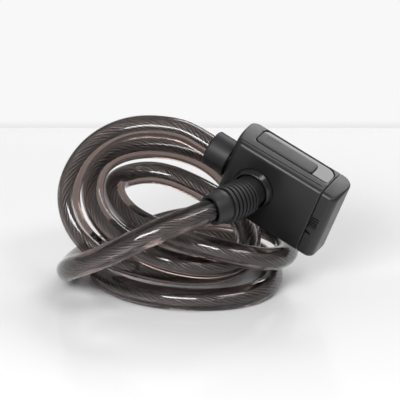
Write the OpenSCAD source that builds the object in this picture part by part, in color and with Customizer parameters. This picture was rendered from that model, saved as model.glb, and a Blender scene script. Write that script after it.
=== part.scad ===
// Key-operated cable lock: a coiled steel cable in a clear smoke-tinted jacket,
// fixed at one end to a moulded lock head and plugged into it at the other.
// Millimetres, +Z up. The lock lies on the plane z = 0, centred on the origin.
// The head is drawn in a frame of its own: x along its length from the plug
// end to the key end, y from its front face to its back, z from its underside
// to its top. in_head() puts that frame in its place over the coil.

/* [Cable] */
// Outside diameter of the jacket
cable_d = 12; // [11.6:0.1:12.2]
// Bore of the jacket
jacket_bore_d = 5.2; // [5:0.1:6]
// Diameter of the twisted steel core
core_d = 4.6; // [4:0.1:4.8]

/* [Head] */
// Length of the head with its end cap
head_l = 62; // [60:0.5:70]
// Depth of the head from front to back
head_w = 22.4; // [22:0.2:26]
// Height of the head
head_h = 41; // [40:0.5:48]
// Length of the end cap
cap_l = 9; // [8.4:0.2:10]
// Shadow gap between housing and end cap
cap_seam = 0.3; // [0.2:0.05:0.4]
// Wall of the housing
wall = 2.2; // [1.8:0.1:2.4]
// Thickness of the housing's top, which holds the slide
top_wall = 5.2; // [5:0.1:5.6]
// Corner radius at the front
front_r = 4.2; // [3.6:0.1:4.8]
// Corner radius at the back
back_r = 7; // [5.5:0.5:8]
// Rounding of the top and bottom edges
edge_r = 1.2; // [0.9:0.1:1.8]
// Wall of the end cap
cap_wall = 4.3; // [3.4:0.1:4.5]
// Thickness of the end cap's outer end
cap_end = 2.4; // [1.8:0.1:2.6]
// Depth of the line moulded along the top
line_depth = 0.5; // [0.3:0.1:0.8]

/* [Plug and socket] */
// Diameter of the plug's cover
ferrule_d = 19.2; // [18:0.2:20]
// Length of the plug's cover
ferrule_l = 12.6; // [12:0.1:13.4]
// Diameter of the plug's pin
pin_d = 10; // [9:0.2:10.4]
// How far the pin reaches into the head
pin_reach = 8.7; // [8.4:0.1:9]
// Diameter at the bottom of the pin's groove
groove_d = 5.2; // [4.4:0.2:5.4]
// Width of the pin's groove
groove_w = 3; // [2.8:0.1:3.2]
// Distance of the groove's middle from the head's end
groove_at = 5.8; // [5.6:0.1:6]
// Wall of the crimped steel sleeves
sleeve_wall = 0.8; // [0.6:0.05:0.85]
// Running clearance of a shaft in its bore, on the radius
run_fit = 0.05; // [0.03:0.01:0.1]

/* [Key cylinder] */
// Diameter of the turning plug
plug_d = 10; // [9.4:0.2:10.4]
// Outside diameter of the cylinder shell
shell_d = 15; // [13.6:0.2:15.6]
// Length of the cylinder shell
shell_l = 18.3; // [17:0.1:18.4]
// Width of the keyway
keyway_w = 2.2; // [1.8:0.1:2.4]
// Height of the keyway
keyway_h = 6.6; // [5.8:0.2:7]
// How many wafers the plug holds
wafer_n = 5; // [3:1:5]
// Thickness of a wafer
wafer_t = 0.9; // [0.7:0.05:1]
// Distance between wafers
wafer_pitch = 2.3; // [2:0.1:2.4]
// Diameter of the cam's disc
cam_d = 10; // [9.6:0.1:10.2]
// Thickness of the cam's disc
cam_t = 2; // [1.6:0.1:2]
// Distance of the cam's pin from the axis
crank_r = 3; // [2.9:0.02:3.06]
// Diameter of the cam's pin
crank_d = 2; // [1.6:0.1:2]

/* [Latch] */
// Thickness of the latch plate's ends
latch_t = 2.2; // [1.8:0.1:2.4]
// Width of the latch plate's bar
latch_w = 5; // [4:0.2:6]
// Height of the latch plate's bar
latch_bar_h = 3; // [2.4:0.1:3]

/* [Slide and tab] */
// Length of the sliding button
slide_l = 34; // [32:0.1:34.4]
// Width of the sliding button
slide_w = 9; // [8:0.1:9.4]
// How far the sliding button stands above the top
slide_proud = 0.6; // [0.4:0.1:1]
// Travel of the sliding button
slide_travel = 8; // [6:0.5:8]
// Depth of the recess in the top
recess_depth = 2.8; // [2.6:0.1:3]
// Thickness of the glossy insert
insert_t = 2; // [1.8:0.1:2]
// Width of the ribbed tab, along the head
tab_w = 3.8; // [3.4:0.1:4]
// Height of the ribbed tab
tab_h = 6; // [5:0.2:7]
// How many ribs the tab has
tab_ribs = 4; // [3:1:5]

/* [Collar and boot] */
// Diameter of the collar at the head
collar_d = 23; // [22:0.2:25]
// Diameter of the collar at its rim
collar_rim_d = 20.4; // [20.2:0.1:21]
// Thickness of the collar
collar_t = 3.8; // [3:0.1:4.2]
// Diameter of the boot's neck, which the collar holds
boot_d = 17.2; // [16.4:0.1:17.4]
// Length of the boot's neck
boot_neck_l = 10; // [9:0.5:11]
// Diameter over the boot's ribs
rib_d = 19.4; // [18:0.2:20]
// Diameter between the boot's ribs
rib_root_d = 17; // [16.4:0.2:17.4]
// How many ribs the boot has
rib_n = 7; // [5:1:8]
// Distance between ribs
rib_pitch = 2.6; // [2.4:0.1:3]
// Length of the boot's plain cuff
boot_cuff_l = 8; // [7:0.5:10]
// Diameter of the cuff next to the ribs
cuff_d = 17.8; // [17:0.2:18.4]
// Diameter of the cuff at its mouth
mouth_d = 16.2; // [15.4:0.2:16.8]

/* [Hidden] */
$fn = 64;
hull_fn = 32;
bite = 1;              // how far a cutter runs past a face
gap = 0.3;             // clearance between loose pieces
snug = 0.15;           // clearance between seated pieces
touch = 0.1;           // clearance of a piece in its pocket's end

// Place of the head over the coil, for a cable that touches the floor with its
// full round; the flat worn on the underside then lowers the whole lock.
floor_flat = cable_d / 10;
head_turn = [10, 24.3, -24.6];
head_across = [3.3, -0.4];
head_lift = 48.2;
shift_x = 0.9;         // sets the lock as it lies over the middle of the plane
head_at = [head_across.x + shift_x, head_across.y, head_lift - floor_flat];
cx = cos(head_turn.x);
sx = sin(head_turn.x);
cy = cos(head_turn.y);
sy = sin(head_turn.y);
cz = cos(head_turn.z);
sz = sin(head_turn.z);
along = [cy * cz, cy * sz, -sy];
back = [sx * sy * cz - cx * sz, sx * sy * sz + cx * cz, sx * cy];
upward = [cx * sy * cz + sx * sz, cx * sy * sz - sx * cz, cx * cy];

// Heights, depths and stations in the head's frame
mid_y = head_w / 2;    // depth of the plug's and the key's common axis
mid_z = head_h / 2;    // height of that axis
body_top = head_h - top_wall;
seam_x = head_l - cap_l;
socket_end = pin_reach + gap;
sleeve_r = cable_d / 2 + 0.25;
crimp_r = sleeve_r + sleeve_wall;
fixed_end_y = mid_y + 0.4;   // how deep the fixed cable end reaches
fixed_floor = 1.5;     // bottom of the fixed sleeve
stem_r = 3;
stem_l = 4.8;
cross_r = 1.45;
cross_l = 17;
plug_end_x = -4.2;     // where the plugged cable end stops
step_t = 2.6;          // thickness of the pin's shoulder
seal_t = 1.6;
seal_w = 1.6;
body_end_gap = 2.5;    // from the lock body's end to the housing's end
body_end = seam_x - body_end_gap;
shell_end = seam_x - touch;  // the shell ends in the bezel plate, which holds it
shell_start = shell_end - shell_l;
cam_gap = 0.42;        // from the cam's disc to the shell
cam_x = shell_start - cam_gap - cam_t - 0.08;
crank_len = latch_t + 0.2;
latch_rear_x = cam_x - latch_t - gap;
boot_x = (socket_end + latch_rear_x) / 2;   // station of the fixed cable end, midway between
stroke = 2 * crank_r * sin(45);
latch_engaged = mid_z - groove_d / 2 - 0.2;
latch_bar_z = 4.7;
latch_rear_w = 9.6;
key_recess = 0.6;      // the key plug's face lies this far inside the bezel's
screw_r = 1.2;
screw_head_r = 2.2;
screw_head_t = 2.1;
screw_l = 13;
boss_inset = cap_wall + gap;
boss_l = 4;
plug_face = seam_x + boss_l - key_recess;
recess_x = 7.6;
recess_w = 14;
recess_edge = 0.8;     // what is left of the top at the recess's key end
recess_rim = 1;        // what is left of it behind the recess
recess = [recess_x, head_w - recess_rim - recess_w,
          seam_x - recess_edge, head_w - recess_rim];   // x0, y0, x1, y1 in plan
recess_r = 5;
slide_x = 8.4;
slide_y = recess[1] + 1.1;
stem_y = slide_y + slide_w / 2;
stem_x = 20;
stem_len = 8;
stem_w = 1.8;
keeper_t = 1;
tab_x = seam_x + 0.9;
tab_z = mid_z + 1.2;
screw_low = 5.8;
screw_high = 3.3;
screw_z = [wall + screw_low, body_top - screw_high];
line_y = 3.9;          // the line moulded along the top
line_w = 0.6;
notch_x = 2.6;         // the finger notch under the tab, along the head
notch_h = 3.8;
notch_drop = 1.2;
notch_depth = 0.7;
screw_grip = 8;        // how deep the bezel's screws reach into the body
collar_lip = 0.8;      // plain edge of the collar, before its cone
collar_floor = 1.4;    // thickness of the collar below its cup
collar_cup_r = 9.4;
keeper_top = head_h - recess_depth - gap;
first_wafer = 5.6;     // from the shell's inner end
wafer_x = shell_start + first_wafer;
wafer_w = 4.9;
wafer_h = 7.7;
cam_screw_r = 1;
cam_screw_head_r = 1.8;
cover_end_t = 1;

// The cable's middle line, a uniform cubic B-spline over these points: from
// inside the plug, up over the far side, three times round, then twice round
// on the floor, and over the near side into the boot.
loops = [
    [-19, 15, 82], [-36, 18, 82], [-52, 15, 77], [-64, 8, 68], [-71, 0, 55],
    [-70, -8, 43], [-64, -14, 32], [-52, -16, 22], [-37, -17, 17], [-20, -16, 12],
    [-4, -14, 10], [9, -11, 10], [19, -3, 11], [24, 8, 15], [25, 20, 21],
    [23, 28, 29], [19, 34, 38], [12, 39, 47], [2, 41, 55], [-13, 41, 61],
    [-30, 38, 64], [-46, 32, 63], [-56, 24, 58], [-59, 12, 52], [-58, 0, 45],
    [-52, -11, 38], [-41, -21, 32], [-26, -29, 26], [-9, -31, 22], [6, -29, 20],
    [17, -22, 21], [23, -11, 23], [23, 1, 28], [18, 12, 34], [9, 21, 39],
    [-2, 29, 43], [-15, 36, 47], [-28, 40, 49], [-41, 37, 48], [-49, 27, 47],
    [-47, 12, 43], [-38, -5, 39], [-24, -21, 38], [-5, -33, 35], [15, -37, 31],
    [31, -33, 26], [41, -19, 22], [45, -1, 20], [42, 18, 20], [33, 34, 19],
    [18, 47, 19], [1, 52, 19], [-17, 48, 18], [-34, 40, 15], [-48, 30, 11],
    [-56, 14, 7], [-55, -3, 6], [-46, -18, 6], [-33, -30, 6], [-15, -37, 6],
    [4, -38, 6], [20, -34, 6], [31, -24, 6], [36, -8, 6], [36, 10, 6],
    [31, 28, 6], [21, 43, 6], [5, 53, 6], [-13, 56, 6], [-31, 55, 6],
    [-49, 46, 6], [-63, 31, 6], [-69, 13, 7], [-71, -5, 10], [-71, -22, 16],
    [-67, -37, 24], [-56, -49, 32], [-40, -56, 42], [-23, -56, 51], [-6, -50, 55.5],
    [10, -38, 58]
];
lead_step = 12;
rings = 117;
end_rings = 16;        // rings of the plugged end, which gives way when the plug is pulled
cable_sides = 8;
core_sides = 6;
boot_sides = 16;
function head_point(p) = head_at + p.x * along + p.y * back + p.z * upward;
function plug_lead(i) = head_point([plug_end_x + (1 - i) * lead_step, mid_y, mid_z]);
function fixed_lead(i) = head_point([boot_x, fixed_end_y + (i - 2) * lead_step, mid_z]);
knots = concat(
    [for (i = [0:3]) plug_lead(i)],
    [for (p = loops) p + [shift_x, 0, -floor_flat]],
    [for (i = [0:3]) fixed_lead(i)]
);
spans = len(knots) - 3;
function spline(t) =
    let (i = min(floor(t), spans - 1), f = t - i)
    (knots[i] * pow(1 - f, 3)
     + knots[i + 1] * (3 * pow(f, 3) - 6 * pow(f, 2) + 4)
     + knots[i + 2] * (-3 * pow(f, 3) + 3 * pow(f, 2) + 3 * f + 1)
     + knots[i + 3] * pow(f, 3)) / 6;
function heading(t) =
    let (e = 0.01, a = spline(max(t - e, 0)), b = spline(min(t + e, spans)))
    (b - a) / norm(b - a);
function level_side(h) = let (s = cross(h, [0, 0, 1])) s / norm(s);
function square_to(v, h) = let (s = v - (v * h) * h) s / norm(s);
// The side direction is carried from ring to ring without twist, and eases
// back to level wherever the cable runs level, so that its flat lies down.
function next_side(s, h) =
    let (
        carried = square_to(s, h),
        level = level_side(h),
        ease = 0.4 * max(0, 1 - 2 * abs(h.z))
    )
    square_to(carried * (1 - ease) + level * ease * (carried * level < 0 ? -1 : 1), h);
function section(t, side, r, n) =
    let (top = cross(side, heading(t)))
    [for (k = [0:n - 1])
        let (a = (k + 0.5) * 360 / n)
        spline(t) + r * cos(a) * side + r * sin(a) * top];
function on_floor(p) = [p.x, p.y, max(p.z, 0)];
cable_t = [for (i = [0:rings - 1]) i * spans / (rings - 1)];
cable_side = [
    for (i = 0, s = level_side(heading(0)); i < rings;
        i = i + 1, s = i < rings ? next_side(s, heading(cable_t[i])) : s) s
];
function part_of(list, from, to) = [for (i = [from:to]) list[i]];
end_t = part_of(cable_t, 0, end_rings - 1);
end_side = part_of(cable_side, 0, end_rings - 1);
coil_t = part_of(cable_t, end_rings - 1, rings - 1);
coil_side = part_of(cable_side, end_rings - 1, rings - 1);

// Least gap of the cable to itself, measured between points on its chords
chord_parts = 4;
far_apart = 12;
chord_points = [
    for (i = [0:rings - 2]) for (j = [0:chord_parts - 1])
        let (f = j / chord_parts)
        spline(cable_t[i]) * (1 - f) + spline(cable_t[i + 1]) * f
];
function self_gap(p) = min([
    for (i = [0:len(p) - far_apart - 1]) for (j = [i + far_apart:len(p) - 1]) norm(p[i] - p[j])
]) - cable_d;
union() {  // cable_jacket
    echo(str("least gap of the cable to itself: ", self_gap(chord_points), " mm"));
}

// Stations of the boot: distance from the head's face, radius
rib_end = boot_neck_l + rib_n * rib_pitch;
boot_l = rib_end + boot_cuff_l;
boot_profile = concat(
    [[0, boot_d / 2], [boot_neck_l / 2, boot_d / 2], [boot_neck_l - 0.3, boot_d / 2]],
    [for (i = [0:rib_n - 1])
        let (s = boot_neck_l + i * rib_pitch)
        each [
            [s + 0.05 * rib_pitch, rib_root_d / 2], [s + 0.25 * rib_pitch, rib_root_d / 2],
            [s + 0.45 * rib_pitch, rib_d / 2], [s + 0.85 * rib_pitch, rib_d / 2]
        ]],
    [[rib_end + 0.05 * rib_pitch, rib_root_d / 2], [rib_end + 0.5, cuff_d / 2],
     [rib_end + boot_cuff_l / 2, (cuff_d + mouth_d) / 4],
     [boot_l - 0.6, mouth_d / 2], [boot_l, mouth_d / 2 - 0.5]]
);
face_t = spans - fixed_end_y / lead_step;
walk_steps = 48;
walk_t = [for (i = [0:walk_steps]) face_t - i * 5 / walk_steps];
walk_s = [for (i = 0, s = 0; i <= walk_steps;
    s = s + (i < walk_steps ? norm(spline(walk_t[i + 1]) - spline(walk_t[i])) : 0), i = i + 1) s];
boot_table = [for (i = [0:walk_steps]) [walk_s[i], walk_t[i]]];
boot_t = [for (b = boot_profile) lookup(b[0], boot_table)];
boot_side = [for (t = boot_t) level_side(heading(t))];
boot_r = [for (b = boot_profile) b[1]];
boot_bore_r = cable_d / 2 + gap;

// A tube over stations ts with a side direction and an outside radius for
// each, and a bore
module swept_tube(ts, sides, radii, bore_r, n) {
    m = len(ts);
    count = m * n;
    outside = [for (i = [0:m - 1]) each [for (p = section(ts[i], sides[i], radii[i], n)) on_floor(p)]];
    inside = [for (i = [0:m - 1]) each section(ts[i], sides[i], bore_r, n)];
    walls = [for (i = [0:m - 2]) for (k = [0:n - 1])
        let (a = i * n + k, b = i * n + (k + 1) % n, c = b + n, d = a + n)
        each [
            [a, b, c], [a, c, d],
            [count + d, count + c, count + b], [count + d, count + b, count + a]
        ]];
    ends = [for (k = [0:n - 1])
        let (a = k, b = (k + 1) % n, c = (m - 1) * n + a, d = (m - 1) * n + b)
        each [
            [b, a, count + a], [b, count + a, count + b],
            [c, d, count + d], [c, count + d, count + c]
        ]];
    polyhedron(points = concat(outside, inside), faces = concat(walls, ends), convexity = 10);
}

// A solid bar of one radius over stations ts
module swept_bar(ts, sides, r, n) {
    m = len(ts);
    walls = [for (i = [0:m - 2]) for (k = [0:n - 1])
        let (a = i * n + k, b = i * n + (k + 1) % n, c = b + n, d = a + n)
        each [[a, b, c], [a, c, d]]];
    ends = [for (k = [1:n - 2])
        each [[0, k + 1, k], [(m - 1) * n, (m - 1) * n + k, (m - 1) * n + k + 1]]];
    polyhedron(
        points = [for (i = [0:m - 1]) each section(ts[i], sides[i], r, n)],
        faces = concat(walls, ends),
        convexity = 10
    );
}

function same(value, list) = [for (i = list) value];

module in_head() {
    translate(head_at)
        rotate(head_turn)
            children();
}

// A round bar along the head, on the common axis
module bar_x(x0, x1, r) {
    translate([x0, mid_y, mid_z])
        rotate([0, 90, 0])
            cylinder(r = r, h = x1 - x0);
}

// A round bar from front to back
module bar_y(x, y0, y1, z, r) {
    translate([x, y1, z])
        rotate([90, 0, 0])
            cylinder(r = r, h = y1 - y0);
}

module box(x0, y0, z0, x1, y1, z1) {
    translate([x0, y0, z0])
        cube([x1 - x0, y1 - y0, z1 - z0]);
}

// A plan outline with its four corners rounded
module round_plan(x0, y0, x1, y1, r) {
    translate([x0 + r, y0])
        square([x1 - x0 - 2 * r, y1 - y0]);
    translate([x0, y0 + r])
        square([x1 - x0, y1 - y0 - 2 * r]);
    for (x = [x0 + r, x1 - r]) {
        for (y = [y0 + r, y1 - r]) {
            translate([x, y])
                circle(r = r);
        }
    }
}

// A post whose top and bottom edges are rounded
module post(r) {
    rotate_extrude($fn = hull_fn)
        intersection() {
            union() {
                translate([0, edge_r])
                    square([r, head_h - 2 * edge_r]);
                square([r - edge_r, head_h]);
                for (z = [edge_r, head_h - edge_r]) {
                    translate([r - edge_r, z])
                        circle(r = edge_r, $fn = hull_fn);
                }
            }
            square([r, head_h]);
        }
}

// The whole outer form of housing and cap
module head_form() {
    hull() {
        for (x = [front_r, head_l - front_r]) {
            translate([x, front_r, 0])
                post(front_r);
        }
        for (x = [back_r, head_l - back_r]) {
            translate([x, head_w - back_r, 0])
                post(back_r);
        }
    }
}

// The space inside the housing, open at the key end
module body_space(grow, x1) {
    r = back_r - wall;
    translate([0, 0, wall - grow])
        linear_extrude(body_top - wall + 2 * grow)
            union() {
                translate([wall - grow, wall - grow])
                    square([x1 - wall + grow, head_w - 2 * wall - r + grow]);
                translate([wall + r, wall - grow])
                    square([x1 - wall - r, head_w - 2 * wall + 2 * grow]);
                translate([wall + r, head_w - wall - r])
                    circle(r = r + grow);
            }
}

module head_housing() {
    color("#1b1b1c")
        in_head()
            difference() {
                intersection() {
                    head_form();
                    box(-bite, -bite, -bite, seam_x, head_w + bite, head_h + bite);
                }
                body_space(snug, seam_x + bite);
                bar_x(-bite, wall + bite, pin_d / 2 + 0.6);
                bar_x(-bite, seal_t + gap, pin_d / 2 + seal_w + gap);
                bar_y(boot_x, -bite, wall + bite, mid_z, boot_bore_r);
                translate([0, 0, head_h - recess_depth])
                    linear_extrude(recess_depth + bite)
                        round_plan(recess[0], recess[1], recess[2], recess[3], recess_r);
                box(stem_x - 2.6, stem_y - 3.6, body_top - bite,
                    stem_x + stem_len + 2.6 + slide_travel, stem_y + 3.8, head_h - recess_depth + bite);
                box(wall, line_y, head_h - line_depth, recess[2], line_y + line_w, head_h + bite);
            }
}

module socket_seal() {
    color("#101011")
        in_head()
            difference() {
                bar_x(gap, gap + seal_t, pin_d / 2 + 0.25 + seal_w);
                bar_x(0, gap + seal_t + bite, pin_d / 2 + 0.25);
            }
}

module latch_space() {
    w = latch_w / 2 + gap;
    t = 0.2;
    box(groove_at - latch_t / 2 - t, mid_y - w, 0,
        groove_at + latch_t / 2 + t, mid_y + w, mid_z);
    box(groove_at - latch_t / 2 - t, mid_y - w, 0,
        latch_rear_x + latch_t + t, mid_y + w, latch_bar_z + latch_bar_h + stroke + gap);
    box(latch_rear_x - t, mid_y - latch_rear_w / 2 - gap, 0,
        cam_x - touch, mid_y + latch_rear_w / 2 + gap + 1, mid_z + 2 + stroke + gap);
}

module lock_body() {
    color("#8d8f92")
        in_head()
            difference() {
                body_space(0, body_end);
                bar_x(0, socket_end, pin_d / 2 + run_fit);
                bar_y(boot_x, 0, fixed_end_y + fixed_floor + gap, mid_z, crimp_r + snug);
                bar_y(boot_x, 0, fixed_end_y + fixed_floor + stem_l + gap, mid_z, stem_r + snug);
                translate([boot_x, fixed_end_y + fixed_floor + stem_l / 2, mid_z - cross_l / 2])
                    cylinder(r = cross_r + run_fit, h = cross_l);
                latch_space();
                bar_x(cam_x - snug, shell_start + bite, cam_d / 2 + gap);
                bar_x(shell_start - touch, body_end + bite, shell_d / 2 + touch);
                for (z = screw_z) {
                    translate([body_end - screw_grip, mid_y, z])
                        rotate([0, 90, 0])
                            cylinder(r = screw_r + run_fit, h = screw_l);
                }
            }
}

module cylinder_shell() {
    color("#b79a55")
        in_head()
            difference() {
                bar_x(shell_start, shell_start + shell_l, shell_d / 2);
                bar_x(shell_start - bite, shell_start + shell_l + bite, plug_d / 2 + run_fit);
                box(shell_start + 2, mid_y - 1.6, mid_z - plug_d / 2 - 1.2,
                    shell_start + shell_l - 2, mid_y + 1.6, mid_z + plug_d / 2 + 1.2);
            }
}

module bezel_plate() {
    z1 = body_top - 0.8;
    color("#2b2b2d")
        in_head()
            difference() {
                union() {
                    intersection() {
                        body_space(0, seam_x - touch);
                        box(body_end + touch, 0, 0, seam_x, head_w, head_h);
                    }
                    box(seam_x - bite, boss_inset, boss_inset,
                        seam_x + boss_l, head_w - boss_inset, z1);
                }
                bar_x(body_end - bite, seam_x + boss_l + bite, plug_d / 2 + gap);
                bar_x(body_end - bite, seam_x, shell_d / 2 + touch);
                for (z = screw_z) {
                    translate([body_end - bite, mid_y, z])
                        rotate([0, 90, 0])
                            cylinder(r = screw_r + snug, h = 2 * screw_l);
                    translate([seam_x + boss_l - screw_head_t, mid_y, z])
                        rotate([0, 90, 0])
                            cylinder(r = screw_head_r + snug, h = screw_l);
                }
                box(seam_x + 0.4, 0, tab_z - tab_h / 2, seam_x + boss_l + bite, boss_inset + 1.4,
                    tab_z + tab_h / 2);
            }
}

module bezel_screws() {
    color("#b9bcc0")
        in_head()
            for (z = screw_z) {
                translate([seam_x + boss_l - screw_head_t, mid_y, z])
                    rotate([0, 90, 0])
                        difference() {
                            union() {
                                cylinder(r = screw_head_r, h = screw_head_t - touch);
                                translate([0, 0, -screw_l + 4])
                                    cylinder(r = screw_r, h = screw_l - 4 + 0.5);
                            }
                            for (a = [0, 90]) {
                                rotate([0, 0, a])
                                    translate([-1.3, -0.3, screw_head_t - 1])
                                        cube([2.6, 0.6, 2]);
                            }
                        }
            }
}

module top_insert() {
    z0 = head_h - recess_depth + touch;
    color("#101316")
        in_head()
            difference() {
                translate([0, 0, z0])
                    linear_extrude(insert_t)
                        round_plan(recess[0] + snug, recess[1] + snug,
                                   recess[2] - snug, recess[3] - snug, recess_r - snug);
                box(stem_x - gap, stem_y - stem_w / 2 - gap, z0 - bite,
                    stem_x + stem_len + slide_travel + gap, stem_y + stem_w / 2 + gap,
                    z0 + insert_t + bite);
            }
}

module top_slide() {
    z0 = head_h - recess_depth + touch + insert_t + gap;
    color("#242425")
        in_head() {
            difference() {
                translate([0, 0, z0])
                    linear_extrude(head_h + slide_proud - z0)
                        round_plan(slide_x, slide_y, slide_x + slide_l, slide_y + slide_w, 1.8);
                for (i = [0:4]) {
                    box(slide_x + 4 + 1.6 * i, slide_y + 1.4, head_h + slide_proud - 0.4,
                        slide_x + 4.8 + 1.6 * i, slide_y + slide_w - 1.4, head_h + slide_proud + bite);
                }
            }
            box(stem_x, stem_y - stem_w / 2, keeper_top, stem_x + stem_len,
                stem_y + stem_w / 2, z0 + touch);
        }
}

module slide_retainer() {
    color("#8f9296")
        in_head()
            box(stem_x - 2, stem_y - 3, keeper_top - keeper_t, stem_x + stem_len + 2,
                stem_y + 3, keeper_top);
}

module end_cap() {
    color("#1b1b1c")
        in_head()
            difference() {
                intersection() {
                    head_form();
                    box(seam_x + cap_seam, -bite, -bite, head_l + bite, head_w + bite, head_h + bite);
                }
                box(seam_x - bite, cap_wall, cap_wall, head_l - cap_end, head_w - cap_wall,
                    body_top - 0.5);
                box(tab_x - snug, -bite, tab_z - tab_h / 2 - snug,
                    tab_x + tab_w + snug, cap_wall + bite, tab_z + tab_h / 2 + snug);
                box(seam_x, -bite, tab_z - tab_h / 2 - notch_drop - notch_h,
                    seam_x + notch_x, notch_depth, tab_z - tab_h / 2 - notch_drop);
            }
}

module cap_latch_tab() {
    rib_step = tab_h / tab_ribs;
    color("#232324")
        in_head() {
            box(tab_x, 0.2, tab_z - tab_h / 2, tab_x + tab_w, cap_wall - 0.2, tab_z + tab_h / 2);
            for (i = [0:tab_ribs - 1]) {
                box(tab_x, -0.35, tab_z - tab_h / 2 + (i + 0.2) * rib_step, tab_x + tab_w, 0.3,
                    tab_z - tab_h / 2 + (i + 0.8) * rib_step);
            }
            box(tab_x + 1, cap_wall - 0.3, tab_z - 1.5, tab_x + 2.4, cap_wall + 0.35, tab_z + 1.5);
        }
}

module collar_ring() {
    color("#1b1b1c")
        in_head()
            translate([boot_x, 0, mid_z])
                rotate([90, 0, 0])
                    difference() {
                        union() {
                            cylinder(r = collar_d / 2, h = collar_lip);
                            translate([0, 0, collar_lip])
                                cylinder(
                                    r1 = collar_d / 2, r2 = collar_rim_d / 2,
                                    h = collar_t - collar_lip);
                        }
                        translate([0, 0, -bite])
                            cylinder(r = boot_d / 2 + snug, h = collar_t + 2 * bite);
                        translate([0, 0, collar_floor])
                            cylinder(r = collar_cup_r, h = collar_t);
                    }
}

module strain_relief_boot() {
    color("#1d1d1e")
        swept_tube(boot_t, boot_side, boot_r, boot_bore_r, boot_sides);
}

module cable_jacket() {
    color("#453a36")
        swept_tube(coil_t, coil_side, same(cable_d / 2, coil_t), jacket_bore_d / 2, cable_sides);
}

module cable_core() {
    color("#77706b")
        swept_bar(coil_t, coil_side, core_d / 2, core_sides);
}

module cable_end_jacket() {
    color("#453a36")
        swept_tube(end_t, end_side, same(cable_d / 2, end_t), jacket_bore_d / 2, cable_sides);
}

module cable_end_core() {
    color("#77706b")
        swept_bar(end_t, end_side, core_d / 2, core_sides);
}

module fixed_crimp_sleeve() {
    y0 = wall + gap;
    y1 = fixed_end_y + fixed_floor;
    color("#a9acb0")
        in_head()
            difference() {
                union() {
                    bar_y(boot_x, y0, y1, mid_z, crimp_r);
                    bar_y(boot_x, y1 - bite, y1 + stem_l, mid_z, stem_r);
                }
                bar_y(boot_x, y0 - bite, fixed_end_y + touch, mid_z, sleeve_r);
                translate([boot_x, y1 + stem_l / 2, mid_z - stem_r - bite])
                    cylinder(r = cross_r + run_fit, h = 2 * (stem_r + bite));
            }
}

module cross_pin() {
    color("#c3c6ca")
        in_head()
            translate([boot_x, fixed_end_y + fixed_floor + stem_l / 2, mid_z - cross_l / 2 + touch])
                cylinder(r = cross_r, h = cross_l - 2 * touch);
}

module ferrule_cover() {
    x1 = -0.2;
    x0 = x1 - ferrule_l;
    color("#1a1a1b")
        in_head()
            difference() {
                union() {
                    bar_x(x0 + 0.8, x1, ferrule_d / 2);
                    translate([x0, mid_y, mid_z])
                        rotate([0, 90, 0])
                            cylinder(r1 = ferrule_d / 2 - 0.8, r2 = ferrule_d / 2, h = 0.8);
                }
                bar_x(x0 - bite, x1 - cover_end_t, crimp_r + snug);
                bar_x(x0, bite, pin_d / 2 + 0.2);
            }
}

module ferrule_crimp_sleeve() {
    x0 = -ferrule_l + gap;
    color("#a9acb0")
        in_head()
            difference() {
                bar_x(x0, plug_end_x + touch, crimp_r);
                bar_x(x0 - bite, plug_end_x + touch + bite, sleeve_r);
            }
}

module ferrule_pin() {
    x0 = plug_end_x + 0.2;
    tip = 1;
    color("#c9ccd0")
        in_head()
            difference() {
                union() {
                    bar_x(x0, x0 + step_t, crimp_r);
                    bar_x(x0, pin_reach - tip, pin_d / 2);
                    translate([pin_reach - tip, mid_y, mid_z])
                        rotate([0, 90, 0])
                            cylinder(r1 = pin_d / 2, r2 = pin_d / 2 - tip, h = tip);
                }
                difference() {
                    bar_x(groove_at - groove_w / 2, groove_at + groove_w / 2, pin_d);
                    bar_x(groove_at - groove_w, groove_at + groove_w, groove_d / 2);
                }
            }
}

module key_plug() {
    color("#c2a562")
        in_head()
            difference() {
                bar_x(shell_start - 0.4, plug_face, plug_d / 2);
                box(wafer_x - 1, mid_y - keyway_w / 2, mid_z - keyway_h / 2,
                    plug_face + bite, mid_y + keyway_w / 2, mid_z + keyway_h / 2);
                for (i = [0:wafer_n - 1]) {
                    box(wafer_x + i * wafer_pitch - touch, mid_y - wafer_w / 2 - touch,
                        mid_z - wafer_h / 2 - touch, wafer_x + i * wafer_pitch + wafer_t + touch,
                        mid_y + wafer_w / 2 + touch, mid_z + wafer_h / 2 + touch);
                }
                bar_x(shell_start - bite, shell_start + 4, cam_screw_r + run_fit);
            }
}

module wafers() {
    color("#d8c07a")
        in_head()
            for (i = [0:wafer_n - 1]) {
                difference() {
                    box(wafer_x + i * wafer_pitch, mid_y - wafer_w / 2, mid_z - wafer_h / 2,
                        wafer_x + i * wafer_pitch + wafer_t, mid_y + wafer_w / 2, mid_z + wafer_h / 2);
                    box(wafer_x + i * wafer_pitch - bite, mid_y - keyway_w / 2 - 0.2, mid_z - 2.7,
                        wafer_x + i * wafer_pitch + bite + wafer_t, mid_y + keyway_w / 2 + 0.2,
                        mid_z + 2.1 + 0.12 * i);
                }
            }
}

module drive_cam() {
    x1 = shell_start - cam_gap;
    x0 = x1 - cam_t;
    a = -45;
    color("#9fa2a6")
        in_head()
            difference() {
                union() {
                    bar_x(x0, x1, cam_d / 2);
                    translate([x0 - crank_len, mid_y + crank_r * cos(a), mid_z + crank_r * sin(a)])
                        rotate([0, 90, 0])
                            cylinder(r = crank_d / 2, h = crank_len + touch);
                }
                bar_x(x0 - bite, x1 + bite, cam_screw_r + run_fit);
                bar_x(x0 - bite, x0 + 1, cam_screw_head_r + run_fit);
            }
}

module cam_screw() {
    x0 = shell_start - cam_gap - cam_t;
    color("#b9bcc0")
        in_head()
            difference() {
                union() {
                    bar_x(x0 + touch, x0 + 0.95, cam_screw_head_r);
                    bar_x(x0 + touch, shell_start + 3.8, cam_screw_r);
                }
                box(x0, mid_y - 1.4, mid_z - 0.25, x0 + 0.5, mid_y + 1.4, mid_z + 0.25);
            }
}

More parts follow.
